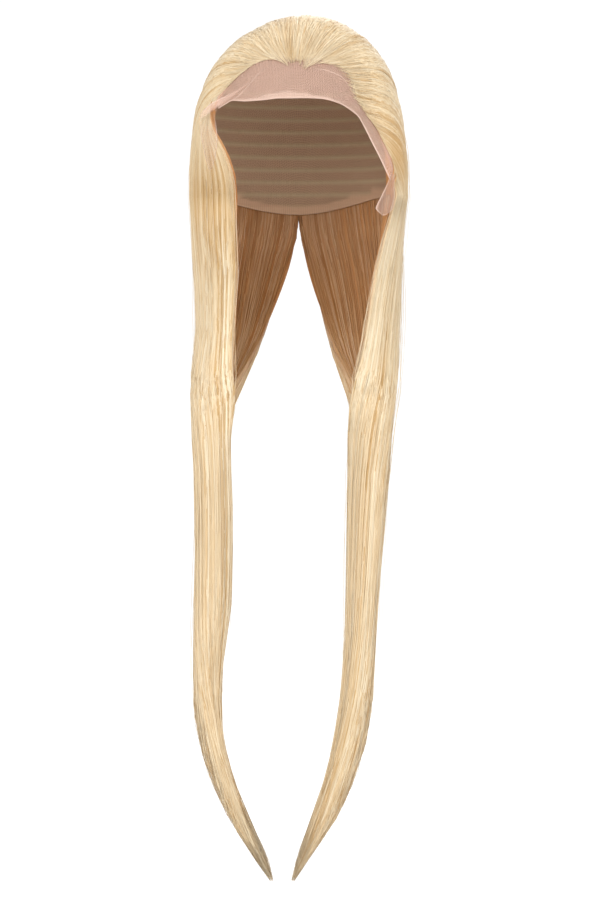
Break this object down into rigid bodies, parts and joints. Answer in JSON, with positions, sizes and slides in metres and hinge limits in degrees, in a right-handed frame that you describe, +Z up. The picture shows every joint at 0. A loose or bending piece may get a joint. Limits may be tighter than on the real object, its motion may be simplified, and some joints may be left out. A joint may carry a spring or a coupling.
{
  "type": "lace front wig",
  "caption": "Very long straight pale blonde wig on an open cap, with a sheer lace band along the hairline, loose ear tabs and two tapered tails hanging in front.",
  "frame": {"origin": "inside of the cap at the crown, where the top of a head touches it", "axes": "+Z up, the hair hanging towards -Z; -Y towards the face opening; +X to the right as seen from the front, the wearer's left"},
  "size_m": [0.2118, 0.2105, 0.8247],
  "materials": {
    "hair": "smooth straight human hair with a soft sheen",
    "hair_back": "smooth straight human hair with a soft sheen",
    "cap": "fine matte net",
    "lace": "sheer matte lace"
  },
  "bodies": {
    "root": {"wig_cap": "cap", "lace_front": "lace", "ear_tab_right": "lace", "ear_tab_left": "lace", "crown_hair": "hair", "front_hair_left": "hair", "front_hair_right": "hair", "back_hair_left": "hair_back", "back_hair_right": "hair_back"}
  },
  "joints": []
}
